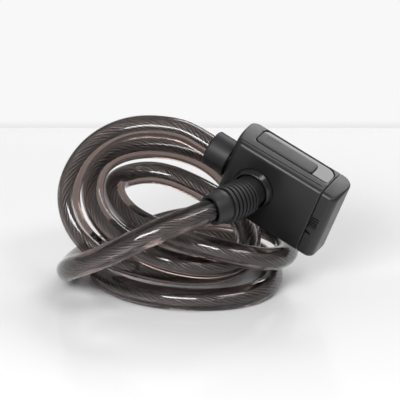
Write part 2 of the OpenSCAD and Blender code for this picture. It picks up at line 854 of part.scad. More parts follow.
module latch_bolt() {
    half = latch_w / 2;
    crank_z = mid_z - crank_r * sin(45);
    color("#b4b7bb")
        in_head()
            difference() {
                union() {
                    box(groove_at - latch_t / 2, mid_y - half, latch_bar_z,
                        latch_rear_x + latch_t, mid_y + half, latch_bar_z + latch_bar_h);
                    box(groove_at - latch_t / 2, mid_y - half, latch_bar_z,
                        groove_at + latch_t / 2, mid_y + half, latch_engaged - stroke);
                    box(latch_rear_x, mid_y - latch_rear_w / 2, latch_bar_z,
                        latch_rear_x + latch_t, mid_y + latch_rear_w / 2 + 1, mid_z + 2);
                }
                box(latch_rear_x - bite, mid_y + crank_r * cos(45) - crank_d / 2 - gap,
                    crank_z - crank_d / 2 - 0.2, latch_rear_x + latch_t + bite,
                    mid_y + crank_r + crank_d / 2 + gap, crank_z + crank_d / 2 + 0.2);
            }
}

head_housing();
lock_body();
socket_seal();
top_insert();
bezel_plate();
bezel_screws();
cylinder_shell();
collar_ring();
strain_relief_boot();
fixed_crimp_sleeve();
cross_pin();
cable_jacket();
cable_core();
cable_end_jacket();
cable_end_core();
ferrule_cover();
ferrule_crimp_sleeve();
ferrule_pin();
key_plug();
wafers();
drive_cam();
cam_screw();
latch_bolt();
top_slide();
slide_retainer();
end_cap();
cap_latch_tab();
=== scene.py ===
# %% [markdown]
# # A keyed cable lock, dressed for the camera
# The construction comes packed from the CAD model as a fixed frame. This script gives each
# visible piece its finish, or a finer mesh that stands for the plain CAD solid. Everything is
# in metres, in the frame's own axes: +Z is up and the lock lies on z = 0.

# %% Load the frame
import math

import bmesh
import bpy
import numpy as np
from mathutils import Matrix, Vector


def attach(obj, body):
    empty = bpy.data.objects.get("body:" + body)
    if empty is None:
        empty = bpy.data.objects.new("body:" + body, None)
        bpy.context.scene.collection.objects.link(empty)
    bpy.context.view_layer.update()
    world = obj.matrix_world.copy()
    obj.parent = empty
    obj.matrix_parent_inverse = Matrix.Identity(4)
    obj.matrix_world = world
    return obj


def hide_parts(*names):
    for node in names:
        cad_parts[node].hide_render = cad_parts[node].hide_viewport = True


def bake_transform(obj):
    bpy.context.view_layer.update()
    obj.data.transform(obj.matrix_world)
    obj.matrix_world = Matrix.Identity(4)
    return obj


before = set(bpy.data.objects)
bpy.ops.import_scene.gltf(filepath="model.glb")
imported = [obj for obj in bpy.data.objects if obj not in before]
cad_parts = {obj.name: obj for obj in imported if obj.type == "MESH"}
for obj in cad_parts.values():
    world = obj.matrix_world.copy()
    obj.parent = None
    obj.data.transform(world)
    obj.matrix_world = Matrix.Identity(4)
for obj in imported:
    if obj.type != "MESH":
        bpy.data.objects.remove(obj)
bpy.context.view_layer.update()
MM = 0.001


def in_scene(name, data):
    """A new object with this data, linked to the scene."""
    made = bpy.data.objects.new(name, data)
    bpy.context.scene.collection.objects.link(made)
    return made


# %% [markdown]
# ## The camera
# A long lens from a little above the table, straight on to the coil. A long lens keeps the
# near and the far loops almost the same size, as in a catalogue picture.

# %% Camera
VIEW_AT = Vector((-1.1, 19, 38.8)) * MM
VIEW_ELEVATION = math.radians(20)
VIEW_DISTANCE = 1.2
MM_PER_PIXEL = 0.531
FRAME_PIXELS = 400
SENSOR = 36

camera_data = bpy.data.cameras.new("studio_camera")
camera_data.sensor_width = SENSOR
camera_data.lens = SENSOR * VIEW_DISTANCE / (FRAME_PIXELS * MM_PER_PIXEL * MM)
camera_data.clip_end = 20
camera = in_scene("studio_camera", camera_data)
sight = Vector((0, -math.cos(VIEW_ELEVATION), math.sin(VIEW_ELEVATION)))
camera.location = VIEW_AT + sight * VIEW_DISTANCE
camera.rotation_euler = (math.pi / 2 - VIEW_ELEVATION, 0, 0)
bpy.context.scene.camera = camera
print("lens", round(camera_data.lens, 1), "mm")

# %% [markdown]
# ## Where the head sits
# The head is drawn lying square to its own axes: x runs along it from the plug end to the key
# end, y from its front face to its back, z from its underside to its top. One matrix then
# turns it into its place over the coil, the same turn as in the CAD model.

# %% Head frame
FLOOR_FLAT, SHIFT_X = 1.2, 0.9
HEAD_AT = Vector((3.3 + SHIFT_X, -0.4, 48.2 - FLOOR_FLAT))
HEAD_TURN = [math.radians(a) for a in (10, 24.3, -24.6)]
turn = (Matrix.Rotation(HEAD_TURN[2], 4, "Z") @ Matrix.Rotation(HEAD_TURN[1], 4, "Y")
        @ Matrix.Rotation(HEAD_TURN[0], 4, "X"))
HEAD = Matrix.Scale(MM, 4) @ Matrix.Translation(HEAD_AT) @ turn
HEAD_L, HEAD_W, HEAD_H = 62.0, 22.4, 41.0
MID_Y, MID_Z = 11.2, 20.5
BOOT_X = 19.3
SEAM_X = 53.0


def in_head(x, y, z):
    """A point of the head's own frame, in millimetres, as a point of the scene in metres."""
    return HEAD @ Vector((x, y, z))


print("plug end of the head at", [round(v, 4) for v in in_head(0, MID_Y, MID_Z)])

# %% [markdown]
# ## The cable's route
# The cable leaves the plug, rises over the far side, goes round three times, comes back round
# twice on the table and climbs over the near side into the boot. A uniform cubic B-spline
# over the listed points gives one smooth line: it never passes exactly through its points,
# so small unevenness in them can't show as a kink.

# %% Route
PLUG_END_X, FIXED_END_Y, LEAD_STEP = -4.2, 11.6, 12.0
LOOPS = [
    (-19, 15, 82), (-36, 18, 82), (-52, 15, 77), (-64, 8, 68), (-71, 0, 55),
    (-70, -8, 43), (-64, -14, 32), (-52, -16, 22), (-37, -17, 17), (-20, -16, 12),
    (-4, -14, 10), (9, -11, 10), (19, -3, 11), (24, 8, 15), (25, 20, 21),
    (23, 28, 29), (19, 34, 38), (12, 39, 47), (2, 41, 55), (-13, 41, 61),
    (-30, 38, 64), (-46, 32, 63), (-56, 24, 58), (-59, 12, 52), (-58, 0, 45),
    (-52, -11, 38), (-41, -21, 32), (-26, -29, 26), (-9, -31, 22), (6, -29, 20),
    (17, -22, 21), (23, -11, 23), (23, 1, 28), (18, 12, 34), (9, 21, 39),
    (-2, 29, 43), (-15, 36, 47), (-28, 40, 49), (-41, 37, 48), (-49, 27, 47),
    (-47, 12, 43), (-38, -5, 39), (-24, -21, 38), (-5, -33, 35), (15, -37, 31),
    (31, -33, 26), (41, -19, 22), (45, -1, 20), (42, 18, 20), (33, 34, 19),
    (18, 47, 19), (1, 52, 19), (-17, 48, 18), (-34, 40, 15), (-48, 30, 11),
    (-56, 14, 7), (-55, -3, 6), (-46, -18, 6), (-33, -30, 6), (-15, -37, 6),
    (4, -38, 6), (20, -34, 6), (31, -24, 6), (36, -8, 6), (36, 10, 6),
    (31, 28, 6), (21, 43, 6), (5, 53, 6), (-13, 56, 6), (-31, 55, 6),
    (-49, 46, 6), (-63, 31, 6), (-69, 13, 7), (-71, -5, 10), (-71, -22, 16),
    (-67, -37, 24), (-56, -49, 32), (-40, -56, 42), (-23, -56, 51), (-6, -50, 55.5),
    (10, -38, 58),
]
knots = np.array(
    [in_head(PLUG_END_X + (1 - i) * LEAD_STEP, MID_Y, MID_Z) for i in range(4)]
    + [((x + SHIFT_X) * MM, y * MM, (z - FLOOR_FLAT) * MM) for x, y, z in LOOPS]
    + [in_head(BOOT_X, FIXED_END_Y + (i - 2) * LEAD_STEP, MID_Z) for i in range(4)]
)
SPANS = len(knots) - 3


def route(t):
    """Points of the middle line at spline parameters t."""
    t = np.clip(np.atleast_1d(np.asarray(t, float)), 0, SPANS)
    i = np.minimum(t.astype(int), SPANS - 1)
    f = (t - i)[:, None]
    return (knots[i] * (1 - f) ** 3 + knots[i + 1] * (3 * f ** 3 - 6 * f ** 2 + 4)
            + knots[i + 2] * (-3 * f ** 3 + 3 * f ** 2 + 3 * f + 1) + knots[i + 3] * f ** 3) / 6


FINE = 6000
fine_t = np.linspace(0, SPANS, FINE)
fine_p = route(fine_t)
fine_s = np.concatenate([[0], np.cumsum(np.linalg.norm(np.diff(fine_p, axis=0), axis=1))])
CABLE_LENGTH = float(fine_s[-1])


def at_length(s):
    """Points of the middle line at distances s from the plugged end, in metres."""
    return route(np.interp(s, fine_s, fine_t))


print("cable length", round(CABLE_LENGTH, 4), "m")

# %% [markdown]
# ## Frames along the cable
# A tube needs a side direction at every station. Carrying the first one from station to
# station, and only ever turning it as far as the line itself turns, leaves no twist. The
# strands then get their twist from a formula, so their lay is even.

# %% Stations and carried frames
STEP = 2.0 * MM
RINGS, END_RINGS = 117, 16  # rings of the CAD model's cable, and of its plugged end
seam_s = float(np.interp((END_RINGS - 1) * SPANS / (RINGS - 1), fine_t, fine_s))
end_steps = round(seam_s / STEP)
coil_steps = round((CABLE_LENGTH - seam_s) / STEP)
station_s = np.concatenate([np.linspace(0, seam_s, end_steps + 1),
                            np.linspace(seam_s, CABLE_LENGTH, coil_steps + 1)[1:]])
station_p = at_length(station_s)


def unit(v):
    """Vectors of length 1."""
    return v / np.linalg.norm(v, axis=-1, keepdims=True)


def carried_frames(points):
    """(heading, side, top) at each point, with no twist from one to the next."""
    heading = unit(np.gradient(points, axis=0))
    side = np.zeros_like(points)
    side[0] = unit(np.cross(heading[0], (0, 0, 1)))
    for i in range(1, len(points)):
        s = side[i - 1] - side[i - 1].dot(heading[i]) * heading[i]
        side[i] = unit(s)
    return heading, side, np.cross(heading, side)


station_h, station_side, station_top = carried_frames(station_p)

CORE_SHIFT = 1.25 * MM
SHIFT_BEND = 5.0  # a bend of this many per metre gives half of the shift
BEND_SPAN = 21


def core_line():
    """The rope's own middle line, which rides towards the outside of each bend."""
    bend = np.gradient(station_h, axis=0) / np.gradient(station_s)[:, None]
    window = np.hanning(BEND_SPAN + 2)[1:-1]
    window /= window.sum()
    half = BEND_SPAN // 2
    padded = np.pad(bend, ((half, half), (0, 0)), mode="edge")
    bend = np.stack([np.convolve(padded[:, k], window, "valid") for k in range(3)], axis=1)
    size = np.linalg.norm(bend, axis=1, keepdims=True)
    return station_p - CORE_SHIFT * bend / (size + SHIFT_BEND)


station_core = core_line()
print("seam at", round(seam_s * 1000, 1), "mm, stations", len(station_s))

# %% [markdown]
# ## Making a mesh
# Most pieces here are lofts: rings of points joined by quads. A loft is either wrapped round
# to its first ring, as for a piece with a bore, or fanned shut at both ends. All pieces are
# plain meshes in the end, so a live modifier is baked as soon as it has done its work.

# %% Mesh helpers
def new_piece(name, points, faces, material, smooth=True):
    """A mesh piece from points and faces, with one material."""
    mesh = bpy.data.meshes.new(name)
    mesh.from_pydata([tuple(p) for p in points], [], faces)
    mesh.materials.append(material)
    mesh.polygons.foreach_set("use_smooth", [smooth] * len(mesh.polygons))
    mesh.update()
    return in_scene(name, mesh)


def loft_faces(rings, count, wrap=False):
    """Quads between consecutive rings of count points each."""
    last = rings if wrap else rings - 1
    faces = []
    for i in range(last):
        a, b = i * count, (i + 1) % rings * count
        for k in range(count):
            n = (k + 1) % count
            faces.append((a + k, a + n, b + n, b + k))
    return faces


def capped(rings, low, high):
    """Points and faces of a loft whose ends are fanned shut to a low and a high point."""
    n, last = len(rings[0]), (len(rings) - 1) * len(rings[0])
    points = [p for ring in rings for p in ring] + [low, high]
    faces = loft_faces(len(rings), n)
    faces += [(last + n, (k + 1) % n, k) for k in range(n)]
    faces += [(last + n + 1, last + k, last + (k + 1) % n) for k in range(n)]
    return points, faces


def joined(name, parts):
    """Several meshes in one object."""
    bm = bmesh.new()
    for part in parts:
        bm.from_mesh(part.data)
    mesh = bpy.data.meshes.new(name)
    bm.to_mesh(mesh)
    bm.free()
    mesh.materials.append(parts[0].data.materials[0])
    for part in parts:
        bpy.data.objects.remove(part)
    return in_scene(name, mesh)


def bake(piece):
    """Turns a piece's live modifiers into plain mesh."""
    bpy.context.view_layer.update()
    seen = piece.evaluated_get(bpy.context.evaluated_depsgraph_get())
    mesh = bpy.data.meshes.new_from_object(seen)
    piece.modifiers.clear()
    piece.data = mesh


def sweep(points, side, top, radii, count):
    """Rings of count points round a line, with a radius for each station."""
    angles = np.arange(count) * 2 * math.pi / count
    across = np.cos(angles)[None, :, None] * side[:, None]
    upward = np.sin(angles)[None, :, None] * top[:, None]
    return points[:, None] + (across + upward) * np.asarray(radii)[:, None, None]


# %% [markdown]
# ## Growing pieces with geometry nodes
# What repeats or follows the cable is grown by a node tree: the rope's strands, the boot's
# ribs, the ribs of the tab and the grooves of the slide. A tree has its sizes as named
# inputs, so one tree serves several pieces, and its result is turned to plain mesh.

# %% Geometry node helpers
def new_tree(name, **kinds):
    """A geometry tree with a Geometry input and named inputs of the given kinds."""
    tree = bpy.data.node_groups.new(name, "GeometryNodeTree")
    for label, kind in {"Geometry": "Geometry", **kinds}.items():
        tree.interface.new_socket(label.replace("_", " "), in_out="INPUT",
                                  socket_type="NodeSocket" + kind)
    tree.interface.new_socket("Geometry", in_out="OUTPUT", socket_type="NodeSocketGeometry")
    return tree, tree.nodes.new("NodeGroupInput").outputs


def end_tree(tree, geometry, material, smooth=True):
    """Realizes the instances, shades them and gives them a material."""
    real = add(tree, "GeometryNodeRealizeInstances", {"Geometry": geometry})
    shaded = add(tree, "GeometryNodeSetShadeSmooth", {"Geometry": real}, Shade_Smooth=smooth)
    coated = add(tree, "GeometryNodeSetMaterial", {"Geometry": shaded, "Material": material})
    tree.links.new(coated.outputs[0], tree.nodes.new("NodeGroupOutput").inputs[0])


def grow(name, source, tree, **values):
    """Runs a tree on a mesh with the given input values and keeps the result as plain mesh."""
    piece = in_scene(name, source)
    step = piece.modifiers.new("grow", "NODES")
    step.node_group = tree
    for socket in tree.interface.items_tree:
        label = socket.name.replace(" ", "_")
        if socket.in_out == "INPUT" and label in values:
            step[socket.identifier] = values[label]
    bake(piece)
    piece.data.name = name
    return piece


def path_mesh(name, points, **attributes):
    """A line of points as a mesh of edges, with numbers or vectors kept on its points."""
    mesh = bpy.data.meshes.new(name)
    mesh.from_pydata([tuple(p) for p in points], [(i, i + 1) for i in range(len(points) - 1)], [])
    for label, values in attributes.items():
        values = np.asarray(values, np.float32)
        kind, field = ("FLOAT_VECTOR", "vector") if values.ndim == 2 else ("FLOAT", "value")
        made = mesh.attributes.new(label, kind, "POINT")
        made.data.foreach_set(field, values.ravel())
    return mesh


# %% [markdown]
# ## Colours and nodes
# Colours are written as sRGB hex values, as a colour picker shows them, and turned to the
# linear values that Blender's shaders use. One small function adds a node with its settings
# and its links, so that each material reads as a short list.

# %% Material helpers
def linear(hex_colour):
    """An sRGB hex colour as linear red, green, blue and alpha."""
    parts = [int(hex_colour[i:i + 2], 16) / 255 for i in (1, 3, 5)]
    return [c / 12.92 if c <= 0.04045 else ((c + 0.055) / 1.055) ** 2.4 for c in parts] + [1.0]


def add(tree, kind, links=None, **settings):
    """Adds a node. settings are its properties or input values. links join its inputs to
    other outputs, where a node stands for its first one."""
    made = tree.nodes.new(kind)
    for name, value in settings.items():
        if hasattr(made, name):
            setattr(made, name, value)
        else:
            made.inputs[name.replace("_", " ")].default_value = value
    for name, source in (links or {}).items():
        if isinstance(source, bpy.types.Node):
            source = source.outputs[0]
        tree.links.new(source, made.inputs[name])
    return made


def new_material(name):
    """An empty node material and its tree."""
    material = bpy.data.materials.new(name)
    material.use_nodes = True
    tree = material.node_tree
    tree.nodes.clear()
    return material, tree


CLOUD = 9 * MM  # size of the faint patches that handling leaves on a moulded surface


def grained(name, dark, light, roughness, grain_mm, bump_mm, spread=0.08, metallic=0.0):
    """A moulded or cast surface: fine grain in the bump, a faint cloud in colour and gloss."""
    material, tree = new_material(name)
    place = add(tree, "ShaderNodeTexCoord").outputs["Object"]
    grain = add(tree, "ShaderNodeTexNoise", {"Vector": place}, Scale=1 / (grain_mm * MM),
                Detail=3.0)
    cloud = add(tree, "ShaderNodeTexNoise", {"Vector": place}, Scale=1 / CLOUD, Detail=4.0)
    tint = add(tree, "ShaderNodeMix", {"Factor": cloud.outputs["Fac"]}, data_type="RGBA",
               A=linear(dark), B=linear(light))
    gloss = add(tree, "ShaderNodeMapRange", {"Value": cloud.outputs["Fac"]},
                To_Min=roughness - spread, To_Max=roughness + spread)
    bump = add(tree, "ShaderNodeBump", {"Height": grain.outputs["Fac"]}, Strength=1.0,
               Distance=bump_mm * MM)
    shader = add(tree, "ShaderNodeBsdfPrincipled",
                 {"Base Color": tint.outputs["Result"], "Roughness": gloss.outputs["Result"],
                  "Normal": bump.outputs["Normal"]}, Metallic=metallic)
    add(tree, "ShaderNodeOutputMaterial", {"Surface": shader})
    return material


# %% [markdown]
# ## Moulded plastics
# Housing, cap and tab are glass-filled nylon from a spark-eroded mould: nearly black, with a
# fine even grain that turns light grey where light grazes it. The collar is the same resin
# from a smoother mould and shows a brighter line of light, the plug's cover and the slide
# from duller ones. The boot is flexible PVC, soft and dull, and the seal is rubber, the
# dullest of all. The recessed insert is polished ABS, almost a mirror: it looks grey because
# it mirrors a lamp. One recipe serves them all, and each is a row of numbers.

# %% Plastic materials
nylon = grained("moulded_nylon", "#151516", "#1d1d1f", 0.36, 0.35, 0.04)
collar_nylon = grained("smooth_moulded_nylon", "#121213", "#19191b", 0.22, 0.35, 0.01)
dull_nylon = grained("dull_moulded_nylon", "#111112", "#18181a", 0.5, 0.35, 0.03)
slide_nylon = grained("fine_moulded_nylon", "#1b1b1d", "#232325", 0.42, 0.25, 0.02)
soft_pvc = grained("flexible_boot_pvc", "#161616", "#1e1e1f", 0.5, 0.5, 0.03)
polished_abs = grained("polished_abs", "#0c0e10", "#101316", 0.09, 2.0, 0.002, 0.03)
seal_rubber = grained("seal_rubber", "#101010", "#171717", 0.7, 0.3, 0.03)

# %% [markdown]
# ## Metals
# The lock body is die-cast zinc, dull and grey. The cylinder is turned brass, and pins and
# sleeves are turned steel, bright and finely marked by the tool. The strands are drawn steel
# wire, which the drawing leaves smooth but not polished, so each shows a soft streak of light.
# Metals keep the default index of refraction.

# %% Metal materials
METAL_SPREAD = 0.06


def metal(name, dark, light, roughness, grain_mm, bump_mm):
    """The recipe of the plastics, with its colour in the mirrored light."""
    return grained(name, dark, light, roughness, grain_mm, bump_mm, METAL_SPREAD, 1.0)


zinc = metal("cast_zinc", "#7f8286", "#96999d", 0.5, 0.5, 0.04)
steel = metal("turned_steel", "#b4b6ba", "#c9cbce", 0.28, 0.15, 0.004)
brass = metal("turned_brass", "#b08d4a", "#c4a35e", 0.3, 0.15, 0.004)
strand_steel = metal("drawn_steel_wire", "#b6bcbf", "#dce1e3", 0.38, 0.3, 0.006)

# %% [markdown]
# ## Clear smoke-tinted PVC
# The jacket is a thick clear tube of plasticised PVC, tinted smoke brown. Light goes in,
# strikes the steel and comes out again, and each pass takes some of it. The tube's outside
# is glossy, with a slow waviness from the extruder that breaks up its long highlights.
#
# The jacket is cut in two where the plugged end meets the coil. The faces of that cut get a
# clear finish, because no such disc shows in a whole cable.

# %% Jacket material
WAVE = 6 * MM
WAVE_HEIGHT = 0.06 * MM


def smoke_pvc():
    """Clear tube with a brown-grey tint that deepens with each pass of the light."""
    material, tree = new_material("smoke_pvc")
    place = add(tree, "ShaderNodeTexCoord").outputs["Object"]
    wave = add(tree, "ShaderNodeTexNoise", {"Vector": place}, Scale=1 / WAVE, Detail=2.0)
    bump = add(tree, "ShaderNodeBump", {"Height": wave.outputs["Fac"]}, Strength=0.5,
               Distance=WAVE_HEIGHT)
    shader = add(tree, "ShaderNodeBsdfPrincipled", {"Normal": bump.outputs["Normal"]},
                 Base_Color=linear("#7c6d68"), Transmission_Weight=1.0, Roughness=0.07, IOR=1.52)
    add(tree, "ShaderNodeOutputMaterial", {"Surface": shader})
    return material


jacket_pvc = smoke_pvc()
jacket_joint, joint_tree = new_material("jacket_joint")
joint_shader = add(joint_tree, "ShaderNodeBsdfPrincipled", Alpha=0.0)
add(joint_tree, "ShaderNodeOutputMaterial", {"Surface": joint_shader})
print("materials", len(bpy.data.materials))

# %% [markdown]
# ## The cable: jacket and strands
# The steel inside is a rope: eight strands twisted round a straight one. It is made as real
# geometry, because the thick clear jacket bends the view of it and a flat pattern would not
# move with the eye. The plugged end is a piece of its own.

# %% Jacket tube
CABLE_R = 6.0 * MM
JACKET_SIDES = 40


def flattened(rings):
    """The underside is worn flat where the cable lies on the table."""
    rings = rings.copy()
    rings[..., 2] = np.maximum(rings[..., 2], 0)
    return rings


def tube(name, rings, material, end_material):
    """A closed tube from rings of points, its ends fanned shut in a material of their own."""
    points, faces = capped(rings, rings[0].mean(0), rings[-1].mean(0))
    piece = new_piece(name, points, faces, material)
    piece.data.materials.append(end_material)
    for face in piece.data.polygons[-2 * JACKET_SIDES:]:
        face.material_index = 1
        face.use_smooth = False
    return piece


# %% Rope
STRAND_N = 8
STRAND_R, STRAND_AT, CENTRE_R = 0.64 * MM, 1.67 * MM, 1.04 * MM
LAY = 30.0 * MM
WIRE_SIDES = 8


def rope_tree():
    """Strands twisted round a straight one, along a line that carries its side, top and run."""
    tree, given = new_tree("twisted_rope", Strands="Int", Lay="Float", Ring_Radius="Float",
                           Strand_Radius="Float", Centre_Radius="Float", Sides="Int",
                           Material="Material")
    line = add(tree, "GeometryNodeMeshToCurve", {"Mesh": given["Geometry"]})
    copies = add(tree, "GeometryNodeDuplicateElements",
                 {"Geometry": line, "Amount": given["Strands"]}, domain="SPLINE")
    kept = {}
    for label, kind in (("run", "FLOAT"), ("side", "FLOAT_VECTOR"), ("top", "FLOAT_VECTOR")):
        kept[label] = add(tree, "GeometryNodeInputNamedAttribute", data_type=kind, Name=label)
    turns = add(tree, "ShaderNodeMath", {0: kept["run"], 1: given["Lay"]}, operation="DIVIDE")
    share = add(tree, "ShaderNodeMath",
                {0: copies.outputs["Duplicate Index"], 1: given["Strands"]}, operation="DIVIDE")
    total = add(tree, "ShaderNodeMath", {0: turns, 1: share}, operation="ADD")
    angle = add(tree, "ShaderNodeMath", {0: total}, operation="MULTIPLY")
    angle.inputs[1].default_value = 2 * math.pi  # a full turn for each lay
    out = None
    for label, operation in (("side", "COSINE"), ("top", "SINE")):
        part = add(tree, "ShaderNodeMath", {0: angle}, operation=operation)
        arm = add(tree, "ShaderNodeMath", {0: part, 1: given["Ring Radius"]}, operation="MULTIPLY")
        step = add(tree, "ShaderNodeVectorMath", {0: kept[label], "Scale": arm}, operation="SCALE")
        if out is not None:
            step = add(tree, "ShaderNodeVectorMath", {0: out, 1: step}, operation="ADD")
        out = step
    placed = add(tree, "GeometryNodeSetPosition",
                 {"Geometry": copies.outputs["Geometry"], "Offset": out})
    both = add(tree, "GeometryNodeJoinGeometry")
    for curve, radius in ((placed, "Strand Radius"), (line, "Centre Radius")):
        ring = add(tree, "GeometryNodeCurvePrimitiveCircle",
                   {"Radius": given[radius], "Resolution": given["Sides"]})
        wire = add(tree, "GeometryNodeCurveToMesh", {"Curve": curve, "Profile Curve": ring},
                   Fill_Caps=True)
        tree.links.new(wire.outputs[0], both.inputs[0])
    end_tree(tree, both, given["Material"])
    return tree


rope = rope_tree()


# %% Jacket and strands
def cable_part(suffix, first, last):
    """Jacket and strands between two stations."""
    span = slice(first, last + 1)
    p, side, top, s = station_p[span], station_side[span], station_top[span], station_s[span]
    rings = flattened(sweep(p, side, top, np.full(len(p), CABLE_R), JACKET_SIDES))
    jacket = tube("jacket" + suffix, rings, jacket_pvc, jacket_joint)
    line = path_mesh("rope_line" + suffix, station_core[span], run=s, side=side, top=top)
    strands = grow("strands" + suffix, line, rope, Strands=STRAND_N, Lay=LAY,
                   Ring_Radius=STRAND_AT, Strand_Radius=STRAND_R, Centre_Radius=CENTRE_R,
                   Sides=WIRE_SIDES, Material=strand_steel)
    return jacket, strands, p


jacket, strands, coil_path = cable_part("_coil", end_steps, end_steps + coil_steps)
end_jacket, end_strands, end_path = cable_part("_end", 0, end_steps)
for piece, node in ((jacket, "cable_jacket"), (strands, "cable_core")):
    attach(piece, "root")
    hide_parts(node)
for piece, node in ((end_jacket, "cable_end_jacket"), (end_strands, "cable_end_core")):
    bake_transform(piece)
    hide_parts(node)
print("jacket faces", len(jacket.data.polygons), "strand faces", len(strands.data.polygons))

# %% [markdown]

# %% [markdown]
# ## The boot
# The boot is moulded over the cable where it leaves the head: a neck that the collar holds,
# ribs that let it bend without folding, and a plain cuff that narrows to its mouth. It could
# be one outline turned about a straight axis, but the cable already bends inside it. So the
# outline, a list of distances and radii, is turned round the cable's own line, and a node tree
# sets the ribs square to that line.

# %% Boot sizes and outline
NECK_L, RIB_N, RIB_PITCH, CUFF_L = 10.0, 7, 2.6, 8.0
NECK_R, RIB_R, RIB_ROOT_R, CUFF_R, MOUTH_R, BOOT_BORE_R = 8.6, 9.7, 8.5, 8.9, 8.1, 6.15
RIB_W, RIB_EDGE_R, RIB_SUNK = 0.62 * RIB_PITCH, 0.34, 0.5
FIRST_RIB, RIB_LINE_POINTS = NECK_L + 0.55 * RIB_PITCH, 60
BOOT_SIDES, BOOT_CRISP = 64, math.radians(40)
FACE_S = CABLE_LENGTH - FIXED_END_Y * MM  # along the cable, where it passes the front face
NEAR = 0.1 * MM  # half the stretch over which a heading is taken

# (distance from the head's face, radius) in millimetres: the boot without its ribs
CUFF = NECK_L + RIB_N * RIB_PITCH
END = CUFF + CUFF_L
boot_outline = [(0, BOOT_BORE_R), (0, NECK_R), (3, NECK_R), (6, NECK_R), (NECK_L - 0.3, NECK_R)]
boot_outline += [(NECK_L + i * RIB_PITCH, RIB_ROOT_R) for i in range(RIB_N)]
boot_outline += [(CUFF + 0.25, RIB_ROOT_R + 0.1), (CUFF + 0.45, CUFF_R - 0.1),
                 (CUFF + 0.7, CUFF_R), (CUFF + CUFF_L * 0.35, CUFF_R - 0.3),
                 (CUFF + CUFF_L * 0.7, MOUTH_R + 0.2), (END - 0.5, MOUTH_R),
                 (END - 0.12, MOUTH_R - 0.16), (END, MOUTH_R - 0.55), (END, BOOT_BORE_R + 0.5),
                 (END - 0.3, BOOT_BORE_R + 0.1), (END - 1.2, BOOT_BORE_R)]
print("boot", END, "mm long")

# %% Rings on a line
def ribs_tree():
    """Rings of rounded section, set square to a line at even distances."""
    tree, given = new_tree("rings_on_a_line", Rings="Int", Radius="Float", Width="Float",
                           Depth="Float", Rounding="Float", Material="Material")
    line = add(tree, "GeometryNodeMeshToCurve", {"Mesh": given["Geometry"]})
    places = add(tree, "GeometryNodeCurveToPoints", {"Curve": line, "Count": given["Rings"]},
                 mode="COUNT")
    circle = add(tree, "GeometryNodeCurvePrimitiveCircle", {"Radius": given["Radius"]},
                 Resolution=BOOT_SIDES)
    level = add(tree, "GeometryNodeSetCurveNormal", {"Curve": circle}, mode="Z_UP")
    section = add(tree, "GeometryNodeCurvePrimitiveQuadrilateral",
                  {"Width": given["Depth"], "Height": given["Width"]})
    soft = add(tree, "GeometryNodeFilletCurve",
               {"Curve": section, "Radius": given["Rounding"]}, mode="POLY", Count=3)
    ring = add(tree, "GeometryNodeCurveToMesh", {"Curve": level, "Profile Curve": soft})
    rings = add(tree, "GeometryNodeInstanceOnPoints",
                {"Points": places.outputs["Points"], "Instance": ring,
                 "Rotation": places.outputs["Rotation"]})
    end_tree(tree, rings, given["Material"])
    return tree


# %% Boot
def along_boot(distances):
    """Points and headings of the cable at distances from the head's face, in millimetres."""
    s = FACE_S - np.asarray(distances, float) * MM
    return at_length(s), unit(at_length(s + NEAR) - at_length(s - NEAR))


def boot():
    """Body and ribs in one mesh."""
    p, h = along_boot([d for d, r in boot_outline])
    side = unit(np.cross(h, (0, 0, 1)))
    rings = sweep(p, side, np.cross(h, side), [r * MM for d, r in boot_outline], BOOT_SIDES)
    body = new_piece("boot_body", rings.reshape(-1, 3),
                     loft_faces(len(rings), BOOT_SIDES, wrap=True), soft_pvc)
    body.data.set_sharp_from_angle(angle=BOOT_CRISP)
    last = FIRST_RIB + (RIB_N - 1) * RIB_PITCH
    line = along_boot(np.linspace(FIRST_RIB, last, RIB_LINE_POINTS))[0]
    depth = RIB_R - RIB_ROOT_R + RIB_SUNK
    ribs = grow("boot_ribs", path_mesh("rib_line", line), ribs_tree(), Rings=RIB_N,
                Radius=(RIB_R - depth / 2) * MM, Depth=depth * MM, Width=RIB_W * MM,
                Rounding=RIB_EDGE_R * MM, Material=soft_pvc)
    return joined("boot", [body, ribs])


boot_piece = boot()
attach(boot_piece, "root")
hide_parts("strain_relief_boot")
print("boot faces", len(boot_piece.data.polygons))

# %% [markdown]
# ## Turned pieces
# The collar and the plug's cover are round, so each is an outline turned about its axis: the
# collar about the boot's axis, the cover about the plug's. The outlines are closed, so the
# pieces have a bore, and each edge has a few points of its own that break it and catch light.

# %% Collar and plug cover
TURNED_SIDES = 96


def turned(name, pairs, origin, axis, material):
    """Turns (distance along the axis, radius) pairs about an axis of the head's frame."""
    axis = Vector(axis)
    side = Vector((0, 0, 1))
    top = axis.cross(side)
    points = []
    for d, r in pairs:
        for k in range(TURNED_SIDES):
            a = 2 * math.pi * k / TURNED_SIDES
            local = Vector(origin) + axis * d + (side * math.cos(a) + top * math.sin(a)) * r
            points.append(HEAD @ local)
    return new_piece(name, points, loft_faces(len(pairs), TURNED_SIDES, wrap=True), material)


